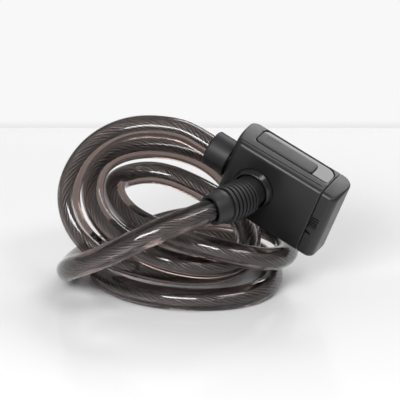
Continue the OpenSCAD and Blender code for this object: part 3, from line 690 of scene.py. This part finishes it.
COLLAR_R, COLLAR_RIM_R, COLLAR_CUP_R = 11.5, 10.2, 9.4
COLLAR_LIP, COLLAR_FLOOR, COLLAR_T = 0.8, 1.4, 3.8
collar_outline = [(0, NECK_R), (0, COLLAR_R), (COLLAR_LIP - 0.2, COLLAR_R),
                  (COLLAR_LIP + 0.15, COLLAR_R - 0.15), (COLLAR_T - 0.35, COLLAR_RIM_R + 0.1),
                  (COLLAR_T - 0.08, COLLAR_RIM_R - 0.1), (COLLAR_T, COLLAR_RIM_R - 0.35),
                  (COLLAR_T, COLLAR_CUP_R + 0.2), (COLLAR_T - 0.2, COLLAR_CUP_R),
                  (COLLAR_FLOOR, COLLAR_CUP_R - 0.1), (COLLAR_FLOOR, NECK_R)]
collar = turned("collar", collar_outline[::-1], (BOOT_X, 0, MID_Z), (0, -1, 0), collar_nylon)
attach(collar, "root")
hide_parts("collar_ring")

COVER_L, COVER_R, COVER_GAP = 12.6, 9.6, 0.2
COVER_HOLLOW_R, COVER_MOUTH_R, COVER_PIN_R, COVER_FLOOR = 7.35, 6.1, 5.2, 1.3
cover_outline = [(COVER_GAP, COVER_PIN_R), (COVER_GAP, COVER_R - 0.4), (0.3, COVER_R - 0.1),
                 (0.6, COVER_R), (2.0, COVER_R), (COVER_L - 1.6, COVER_R),
                 (COVER_L - 0.7, COVER_R), (COVER_L - 0.2, COVER_R - 0.18),
                 (COVER_L + 0.12, COVER_R - 0.55), (COVER_L + 0.2, COVER_R - 1.0),
                 (COVER_L + 0.2, COVER_MOUTH_R + 0.6), (COVER_L + 0.05, COVER_MOUTH_R + 0.25),
                 (COVER_L - 0.4, COVER_MOUTH_R + 0.02), (COVER_L - 1.5, COVER_MOUTH_R),
                 (COVER_L - 1.6, COVER_HOLLOW_R), (COVER_FLOOR, COVER_HOLLOW_R),
                 (COVER_FLOOR, COVER_PIN_R)]
cover = turned("plug_cover", cover_outline[::-1], (0, MID_Y, MID_Z), (-1, 0, 0), dull_nylon)
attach(cover, "ferrule")
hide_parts("ferrule_cover")
print("collar and cover faces", len(collar.data.polygons), len(cover.data.polygons))

# %% [markdown]
# ## The head's form
# Housing and cap share one rounded form. A bevelled box would give every edge the same
# radius, but the front edges here are rounder than the back ones and the top is crowned, so
# that lamps run along it as soft bands. So the form is lofted upwards from plan outlines that
# all have the same number of points, each drawn in a little at the top and bottom edges to
# round them. It is then cut at the seam.

# %% Plan of the head
FRONT_R, BACK_R, PLUG_END_BACK_R = 4.2, 7.2, 4.4
FRONT_EDGE_R, BACK_EDGE_R = 2.1, 0.9
RECESS = (8.1, 8.3, 52.2, 21.4)
RECESS_R = (1.9, 2.4, 6.0, 3.0)
RECESS_DEPTH = 2.8
CORNER_STEPS = 10
SIDE_STEPS = (28, 10, 28, 10)
SHARPEST_R = 0.15
BULGE, BULGE_REACH = 1.5, 16


def outline(x0, y0, x1, y1, radii, inset=0.0):
    """A rectangle with rounded corners, counter-clockwise from its front side. radii are for
    the front left, front right, back right and back left corners."""
    x0, y0, x1, y1 = x0 + inset, y0 + inset, x1 - inset, y1 - inset
    fl, fr, br, bl = [max(r - inset, SHARPEST_R) for r in radii]
    corners = [(x1 - fr, y0 + fr, fr, -90), (x1 - br, y1 - br, br, 0),
               (x0 + bl, y1 - bl, bl, 90), (x0 + fl, y0 + fl, fl, 180)]
    starts = [(x0 + fl, y0), (x1, y0 + fr), (x1 - br, y1), (x0, y1 - bl)]
    ends = [(x1 - fr, y0), (x1, y1 - br), (x0 + bl, y1), (x0, y0 + fl)]
    points = []
    for (sx, sy), (ex, ey), (cx, cy, r, a0), n in zip(starts, ends, corners, SIDE_STEPS):
        points += [(sx + (ex - sx) * i / n, sy + (ey - sy) * i / n) for i in range(n)]
        for i in range(CORNER_STEPS):
            a = math.radians(a0 + 90 * i / CORNER_STEPS)
            points.append((cx + r * math.cos(a), cy + r * math.sin(a)))
    return points


def bulged(points):
    """The plug end falls back a little from its middle towards the front."""
    out = []
    for x, y, z in points:
        fade = max(0.0, 1 - x / BULGE_REACH) ** 2
        out.append((x + BULGE * fade * max(0.0, (MID_Y - y) / MID_Y) ** 2, y, z))
    return out


# %% Form of the head
CROWN, CROWN_RISE, CROWN_Y = 0.9, 0.5, 15.0
TOP_INSETS = (2.9, 4.0, 5.6, 7.4, 9.2, 10.8)
SIDE_LEVELS = (0.2, 0.4, 0.6, 0.8)
HEAD_EDGE_STEPS = 7
EDGE_FULL_Y, EDGE_END_Y = 4, 12
MIDDLE_X = 30


def crown(y):
    """Height of the gently rounded top over its nominal plane: highest towards the back."""
    return CROWN_RISE - CROWN * ((y - CROWN_Y) / CROWN_Y) ** 2


def edge_radius(y):
    """Radius of the upper and lower edges: large along the front, small along the back."""
    share = min(1.0, max(0.0, (EDGE_END_Y - y) / (EDGE_END_Y - EDGE_FULL_Y)))
    return BACK_EDGE_R + (FRONT_EDGE_R - BACK_EDGE_R) * share


def rounded_ring(plan, angle, z, upward):
    """A ring of the rounded edge, at an angle from the side wall (0) to the flat (90 degrees)."""
    ring = []
    for i, (x, y) in enumerate(plan):
        (ax, ay), (bx, by) = plan[i - 1], plan[(i + 1) % len(plan)]
        size = math.hypot(bx - ax, by - ay)
        r = edge_radius(y)
        step = r * (1 - math.cos(angle)) / size
        level = z - upward * r * (1 - math.sin(angle))
        ring.append((x - (by - ay) * step, y + (bx - ax) * step, level))
    return ring


def head_form():
    """The outer form as one closed mesh in the head's frame."""
    body = (0, 0, HEAD_L, HEAD_W)
    corners = (FRONT_R, FRONT_R, BACK_R, PLUG_END_BACK_R)
    plan = outline(*body, corners)
    angles = [math.pi / 2 * i / HEAD_EDGE_STEPS for i in range(HEAD_EDGE_STEPS + 1)]
    rings = [rounded_ring(plan, a, 0, -1) for a in reversed(angles)]
    rings += [[(x, y, HEAD_H * f) for x, y in plan] for f in SIDE_LEVELS]
    rings += [rounded_ring(plan, a, HEAD_H, 1) for a in angles]
    rings += [[(x, y, HEAD_H) for x, y in outline(*body, corners, inset)] for inset in TOP_INSETS]
    rings = [[(x, y, z + crown(y) * max(0.0, z / HEAD_H - 0.5) * 2) for x, y, z in bulged(ring)]
             for ring in rings]
    return capped(rings, (MIDDLE_X, MID_Y, 0), (MIDDLE_X, MID_Y, HEAD_H + crown(MID_Y)))


# %% Cutting and placing
def block(x0, y0, z0, x1, y1, z1, name="cutter"):
    """A plain box in the head's frame, to cut with or to build from."""
    corners = [(x, y, z) for z in (z0, z1) for y in (y0, y1) for x in (x0, x1)]
    faces = [(0, 2, 3, 1), (4, 5, 7, 6), (0, 1, 5, 4), (2, 6, 7, 3), (0, 4, 6, 2), (1, 3, 7, 5)]
    return new_piece(name, corners, faces, nylon, False)


def cut(piece, *cutters):
    """Takes the cutters out of a piece and makes the result plain mesh."""
    for cutter in cutters:
        step = piece.modifiers.new("cut", "BOOLEAN")
        step.operation = "DIFFERENCE"
        step.solver = "EXACT"
        step.object = cutter
    bake(piece)
    for cutter in cutters:
        bpy.data.objects.remove(cutter)


SEAM_GAP, SEAM_BREAK = 0.3, 0.28


def halve(name, keep_low):
    """The head's form on one side of the seam, with its cut edge broken."""
    points, faces = head_form()
    piece = new_piece(name, points, faces, nylon)
    bm = bmesh.new()
    bm.from_mesh(piece.data)
    x = SEAM_X if keep_low else SEAM_X + SEAM_GAP
    bmesh.ops.bisect_plane(bm, geom=bm.verts[:] + bm.edges[:] + bm.faces[:], plane_co=(x, 0, 0),
                           plane_no=(1, 0, 0), clear_outer=keep_low, clear_inner=not keep_low)
    rim = [e for e in bm.edges if e.is_boundary]
    bmesh.ops.holes_fill(bm, edges=rim, sides=0)
    bmesh.ops.recalc_face_normals(bm, faces=bm.faces[:])
    bmesh.ops.bevel(bm, geom=rim, offset=SEAM_BREAK, segments=2, profile=0.5, affect="EDGES")
    bm.to_mesh(piece.data)
    bm.free()
    return piece


CRISP = math.radians(32)


def seat(piece):
    """Smooths a piece, with edges kept past an angle, and moves it into the head's place."""
    piece.data.shade_smooth()
    piece.data.set_sharp_from_angle(angle=CRISP)
    piece.data.transform(HEAD)
    piece.data.update()
    print(piece.name, "has", len(piece.data.polygons), "faces")


# %% [markdown]
# ## Housing and cap
# The housing is hollow and open at the key end, where the bezel plate closes it. It has a
# round way in for the plug, a recess for insert and slide, and a fine moulded line along its
# top. The cap is a hollow lid with a window for its press tab and a notch under it. These are
# all cut out of the head's form by plain bodies, as a mould's own inserts would leave them.

# %% Housing
ROD_SIDES = 48


def rod(x0, x1, r):
    """A round bar along the plug's axis, used to cut."""
    points = []
    for x in (x0, x1):
        for k in range(ROD_SIDES):
            a = 2 * math.pi * k / ROD_SIDES
            points.append((x, MID_Y + r * math.cos(a), MID_Z + r * math.sin(a)))
    ends = [tuple(reversed(range(ROD_SIDES))), tuple(range(ROD_SIDES, 2 * ROD_SIDES))]
    return new_piece("cutter", points, loft_faces(2, ROD_SIDES) + ends, nylon, False)


LIP = 0.25


def recess_cutter():
    """The space of the recess, which flares at the top to give its edge a small round."""
    rings = [(HEAD_H + z, outline(*RECESS, RECESS_R, inset))
             for inset, z in ((0.04, -RECESS_DEPTH), (0, -LIP), (-0.2 * LIP, -0.24),
                              (-0.6 * LIP, -0.06), (-LIP, 0), (-LIP, 1))]
    n = len(rings[0][1])
    points = [(x, y, z + (crown(y) if z > HEAD_H - 1 else 0))
              for z, ring in rings for x, y in ring]
    faces = loft_faces(len(rings), n)
    faces += [tuple(reversed(range(n))), tuple(range((len(rings) - 1) * n, len(rings) * n))]
    return new_piece("cutter", points, faces, nylon)


WALL, CAVITY_TOP = 2.2, 35.95
SOCKET_R, SOCKET_MOUTH_R, SOCKET_MOUTH = 5.6, 6.95, 1.9
KEEPER_SLOT = (17.4, 9.4, 34.8, 38.6, 16.8, 39.2)  # room for the slide's stem and keeper
LINE_FROM, LINE_TO, LINE_Y, LINE_W, LINE_DEPTH, LINE_DRIFT = 2.2, 51, 3.3, 0.5, 0.45, 1.1

housing = halve("housing", True)
line_cut = block(LINE_FROM, LINE_Y, HEAD_H - LINE_DEPTH, LINE_TO, LINE_Y + LINE_W, HEAD_H + 1)
for v in line_cut.data.vertices:
    v.co.y += (v.co.x - LINE_FROM) / (LINE_TO - LINE_FROM) * LINE_DRIFT
cut(housing, block(WALL, WALL, WALL, SEAM_X + 1, HEAD_W - WALL, CAVITY_TOP),
    rod(-1, WALL + 0.8, SOCKET_R), rod(-1, SOCKET_MOUTH, SOCKET_MOUTH_R), block(*KEEPER_SLOT),
    line_cut, recess_cutter())
seat(housing)
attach(housing, "root")
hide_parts("head_housing")

# %% End cap
TAB = (53.9, 18.7, 57.7, 24.7)  # left, bottom, right and top of the press tab
TAB_GAP, CAP_WALL, CAP_END, CAP_CAVITY_TOP = 0.25, 4.3, 2.4, 35.3
NOTCH_X, NOTCH_TOP, NOTCH_END = 53.1, TAB[1] - 1.1, TAB[1] - 4.6

cap = halve("cap", False)
cut(cap, block(SEAM_X - 1, CAP_WALL, CAP_WALL,
               HEAD_L - CAP_END, HEAD_W - CAP_WALL, CAP_CAVITY_TOP),
    block(TAB[0] - TAB_GAP, -1, TAB[1] - TAB_GAP, TAB[2] + TAB_GAP, 5, TAB[3] + TAB_GAP),
    block(NOTCH_X, -1, NOTCH_END, NOTCH_X + 2.1, 0.7, NOTCH_TOP),
    block(NOTCH_X, -1, NOTCH_END - 0.3, NOTCH_X + 3.4, 2.4, NOTCH_END + 0.7))
seat(cap)
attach(cap, "cap")
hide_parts("end_cap")

# %% [markdown]
# ## Small moulded pieces
# The slide, the glossy insert and the press tab are boxes with rounded corners and broken
# edges. Insert and slide use the head's own plan outline and loft, so the gap round them is
# even. The slide's grip grooves and the tab's ribs are rows of bars, which one node tree makes.

# %% Slab with rounded edges
SLAB_EDGE_STEPS = 4
SLAB_TOP_RINGS = (0.2, 0.45, 0.7, 0.95)


def slab(name, x0, y0, z0, x1, y1, z1, radii, edge, material, crowned=False):
    """A flat piece with rounded corners and upper edge and, if asked, the head's crown."""
    rings = [(z0, outline(x0, y0, x1, y1, radii))]
    for i in range(SLAB_EDGE_STEPS + 1):
        a = math.pi / 2 * i / SLAB_EDGE_STEPS
        rings.append((z1 - edge * (1 - math.sin(a)),
                      outline(x0, y0, x1, y1, radii, edge * (1 - math.cos(a)))))
    half, x, y = (y1 - y0) / 2, (x0 + x1) / 2, (y0 + y1) / 2
    rings += [(z1, outline(x0, y0, x1, y1, radii, edge + (half - edge) * f))
              for f in SLAB_TOP_RINGS]
    lift = crown if crowned else lambda y: 0
    rings = [[(x, y, z + (lift(y) if z > z0 else 0)) for x, y in ring] for z, ring in rings]
    points, faces = capped(rings, (x, y, z0), (x, y, z1 + lift(y)))
    return new_piece(name, points, faces, material)


# %% Rows of bars
def row_tree():
    """A row of equal bars, one every step."""
    tree, given = new_tree("row_of_bars", Bars="Int", Start="Vector", Step="Vector",
                           Size="Vector", Material="Material")
    places = add(tree, "GeometryNodeMeshLine",
                 {"Count": given["Bars"], "Start Location": given["Start"],
                  "Offset": given["Step"]}, mode="OFFSET")
    bar = add(tree, "GeometryNodeMeshCube", {"Size": given["Size"]})
    bars = add(tree, "GeometryNodeInstanceOnPoints",
               {"Points": places, "Instance": bar.outputs["Mesh"]})
    end_tree(tree, bars, given["Material"], False)
    return tree


bars_in_a_row = row_tree()


def row(name, count, start, step, size, material):
    """A row of bars in the head's frame: the first one's middle, the step and a bar's size."""
    return grow(name, bpy.data.meshes.new(name), bars_in_a_row, Bars=count, Start=start,
                Step=step, Size=size, Material=material)


# %% Insert
INSERT_TOP = HEAD_H - 0.1
INSERT_GAP, INSERT_EDGE_R = 0.15, 0.25
STEM = (20, 12.1, 28, 13.9)  # plan of the stem that carries the slide
STEM_GAP, SLIDE_TRAVEL = 0.3, 8

insert = slab("insert", RECESS[0] + INSERT_GAP, RECESS[1] + INSERT_GAP,
              HEAD_H - RECESS_DEPTH + 0.1, RECESS[2] - INSERT_GAP, RECESS[3] - INSERT_GAP,
              INSERT_TOP, RECESS_R, INSERT_EDGE_R, polished_abs)
cut(insert, block(STEM[0] - STEM_GAP, STEM[1] - STEM_GAP, 30, STEM[2] + SLIDE_TRAVEL + STEM_GAP,
                  STEM[3] + STEM_GAP, 45))
seat(insert)
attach(insert, "root")
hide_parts("top_insert")

# %% Slide
SLIDE = (8.4, 8.5, 42.4, 17.5)
SLIDE_R = (1.6, 1.8, 1.8, 1.6)
SLIDE_GAP, SLIDE_EDGE_R, SLIDE_TOP = 0.15, 0.4, HEAD_H + 0.5
STEM_FOOT, STEM_BITE = 37.9, 0.4
GRIP_N, GRIP_STEP, GRIP_AT, GRIP_BAR = 5, 1.6, 4.4, (0.5, 6.2, 0.3)

slide_body = slab("slide_body", SLIDE[0], SLIDE[1], INSERT_TOP + SLIDE_GAP, SLIDE[2], SLIDE[3],
                  SLIDE_TOP, SLIDE_R, SLIDE_EDGE_R, slide_nylon, True)
grip_start = (SLIDE[0] + GRIP_AT, (SLIDE[1] + SLIDE[3]) / 2, SLIDE_TOP + CROWN_RISE)
cut(slide_body, row("grip", GRIP_N, grip_start, (GRIP_STEP, 0, 0), GRIP_BAR, slide_nylon))
stem = block(STEM[0], STEM[1], STEM_FOOT, STEM[2], STEM[3], INSERT_TOP + STEM_BITE, "slide_stem")
slide = joined("slide", [slide_body, stem])
seat(slide)
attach(slide, "slide")
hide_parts("top_slide")

# %% Press tab
RIBS = 4
RIB_STEP = (TAB[3] - TAB[1]) / RIBS
RIB_MID_Y, RIB_DEPTH, RIB_THICK = 0.55, 1.8, 0.72
TAB_FRONT, TAB_BACK, TAB_EASE, TAB_EDGE = 1.3, 4.1, 0.06, 0.15
BUMP = (TAB[0] + 1, 4.0, 20.2, TAB[0] + 2.4, 4.65, 23.2)  # snaps behind the cap's wall

ribs_start = ((TAB[0] + TAB[2]) / 2, RIB_MID_Y, TAB[1] + RIB_STEP / 2)
tab = joined("tab", [
    block(TAB[0], TAB_FRONT, TAB[1] + TAB_EASE, TAB[2], TAB_BACK, TAB[3] - TAB_EASE, "tab_body"),
    block(*BUMP, "tab_bump"),
    row("tab_ribs", RIBS, ribs_start, (0, 0, RIB_STEP), (TAB[2] - TAB[0], RIB_DEPTH, RIB_THICK),
        nylon)])
bevel = tab.modifiers.new("edges", "BEVEL")
bevel.width = TAB_EDGE
bevel.segments = 2
bake(tab)
seat(tab)
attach(tab, "tab")
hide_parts("cap_latch_tab")

# %% [markdown]
# ## Finishes on the CAD's own pieces
# The pieces inside keep their CAD shape, which is exact, and only get their metal or plastic.

# %% Finishes inside
finishes = {
    zinc: ["lock_body", "slide_retainer"],
    steel: ["ferrule_pin", "ferrule_crimp_sleeve", "fixed_crimp_sleeve", "cross_pin",
            "bezel_screws", "cam_screw", "drive_cam", "latch_bolt"],
    brass: ["key_plug", "cylinder_shell", "wafers"],
    slide_nylon: ["bezel_plate"],
    seal_rubber: ["socket_seal"],
}
for material, names in finishes.items():
    for name in names:
        node_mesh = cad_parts[name].data
        if node_mesh.materials:
            node_mesh.materials[0] = material
        else:
            node_mesh.materials.append(material)
print("finished inside:", sum(len(names) for names in finishes.values()), "pieces")

# %% [markdown]
# ## Studio
# A glossy white table in front of a white wall. The room on the camera's side is dim, so the
# clear jacket mirrors darkness there and the lamps show in it as thin bright lines. The wall
# glows only for the camera, mirrors and glass, so it lights nothing by itself, and it is clear
# from behind, so the lock can be seen from that side too. Its foot glows a little less: a
# painted shade where the wall meets the table.

# %% Table and wall
STAGE = 3


def stage_plane(name, near, far, material):
    """A sheet of the studio between two lines along x, each given by its y and z."""
    corners = [(-STAGE, *near), (STAGE, *near), (STAGE, *far), (-STAGE, *far)]
    mesh = bpy.data.meshes.new(name)
    mesh.from_pydata(corners, [], [(0, 1, 2, 3)])
    mesh.materials.append(material)
    made = in_scene(name, mesh)
    return made


def seen_directly(tree):
    """1 for camera, mirror and glass rays, 0 for the rays that carry light between surfaces."""
    rays = add(tree, "ShaderNodeLightPath").outputs
    straight = add(tree, "ShaderNodeMath",
                   {0: rays["Is Camera Ray"], 1: rays["Is Transmission Ray"]}, operation="MAXIMUM")
    return add(tree, "ShaderNodeMath", {0: straight, 1: rays["Is Glossy Ray"]}, operation="MAXIMUM")


WALL_AT, WALL_TOP = 0.26, 0.1
# Height and glow of the painted shade along the wall's foot.
PAINTED_SHADE_HEIGHT, PAINTED_SHADE_GLOW = 5 * MM, 0.86
table_material, table_tree = new_material("white_acrylic_table")
table_shader = add(table_tree, "ShaderNodeBsdfPrincipled", Base_Color=linear("#f4f4f5"),
                   Roughness=0.1, Specular_IOR_Level=0.35)
add(table_tree, "ShaderNodeOutputMaterial", {"Surface": table_shader})
stage_plane("table", (-STAGE, 0), (STAGE, 0), table_material)

wall_material, wall_tree = new_material("white_wall")
wall_height = add(wall_tree, "ShaderNodeSeparateXYZ",
                  {"Vector": add(wall_tree, "ShaderNodeTexCoord").outputs["Object"]})
# The lowest few millimetres of the wall glow less: painted shade where the wall meets the table.
painted_foot_shade = add(wall_tree, "ShaderNodeMapRange", {"Value": wall_height.outputs["Z"]},
                 From_Max=PAINTED_SHADE_HEIGHT, To_Min=PAINTED_SHADE_GLOW)
glow = add(wall_tree, "ShaderNodeEmission", {"Strength": painted_foot_shade.outputs["Result"]},
           Color=linear("#f8f8f8"))
matt = add(wall_tree, "ShaderNodeBsdfDiffuse", Color=linear("#c8c8c8"))
front = add(wall_tree, "ShaderNodeMixShader",
            {"Fac": seen_directly(wall_tree), 1: matt, 2: glow})
back = add(wall_tree, "ShaderNodeBsdfTransparent")
which_side = add(wall_tree, "ShaderNodeNewGeometry").outputs["Backfacing"]
one_sided = add(wall_tree, "ShaderNodeMixShader", {"Fac": which_side, 1: front, 2: back})
add(wall_tree, "ShaderNodeOutputMaterial", {"Surface": one_sided})
wall = stage_plane("wall", (WALL_AT, 0), (WALL_AT, WALL_TOP), wall_material)
wall.visible_shadow = False
print("wall at", WALL_AT, "m,", WALL_TOP, "m high")

# %% [markdown]
# ## Lamps and room
# Three softboxes light the lock. The front one draws the bright streak on each turn of the
# cable and the line along the head's front edge. The right one lightens the key end. The back
# one stands high behind the wall, where the head's top mirrors it. The world is a dim, even
# room that fills the shadows, and white where the camera looks past the table.

# %% Lamps
LAMP_AIM = Vector((0, 0, 0.04))


def softbox(name, azimuth, elevation, distance, size, power):
    """A soft lamp in a direction from the lock: azimuth 0 is the camera's side, + is right."""
    a, e = math.radians(azimuth), math.radians(elevation)
    towards = Vector((math.sin(a) * math.cos(e), -math.cos(a) * math.cos(e), math.sin(e)))
    data = bpy.data.lights.new(name, "AREA")
    data.shape = "RECTANGLE"
    data.size, data.size_y = size
    data.energy = power
    lamp = in_scene(name, data)
    lamp.location = LAMP_AIM + towards * distance
    lamp.rotation_euler = (-towards).to_track_quat("-Z", "Y").to_euler()


softbox("front_softbox", azimuth=-20, elevation=31, distance=1.0, size=(0.5, 0.24), power=6.8)
softbox("right_softbox", azimuth=45, elevation=50, distance=1.0, size=(0.5, 0.2), power=2.3)
softbox("back_softbox", azimuth=150, elevation=42, distance=2.2, size=(1.32, 0.66), power=15.5)
print("lamps", len(bpy.data.lights))

# %% Room
ROOM_LIGHT = 0.38
world = bpy.data.worlds.new("dim_room")
bpy.context.scene.world = world
world.use_nodes = True
room = world.node_tree
room.nodes.clear()
seen = add(room, "ShaderNodeLightPath").outputs["Is Camera Ray"]
room_level = add(room, "ShaderNodeMapRange", {"Value": seen}, To_Min=ROOM_LIGHT, To_Max=1.0)
background = add(room, "ShaderNodeBackground", {"Strength": room_level.outputs["Result"]},
                 Color=(1, 1, 1, 1))
add(room, "ShaderNodeOutputWorld", {"Surface": background})
bpy.context.scene.view_settings.view_transform = "Standard"
print("room light", ROOM_LIGHT)
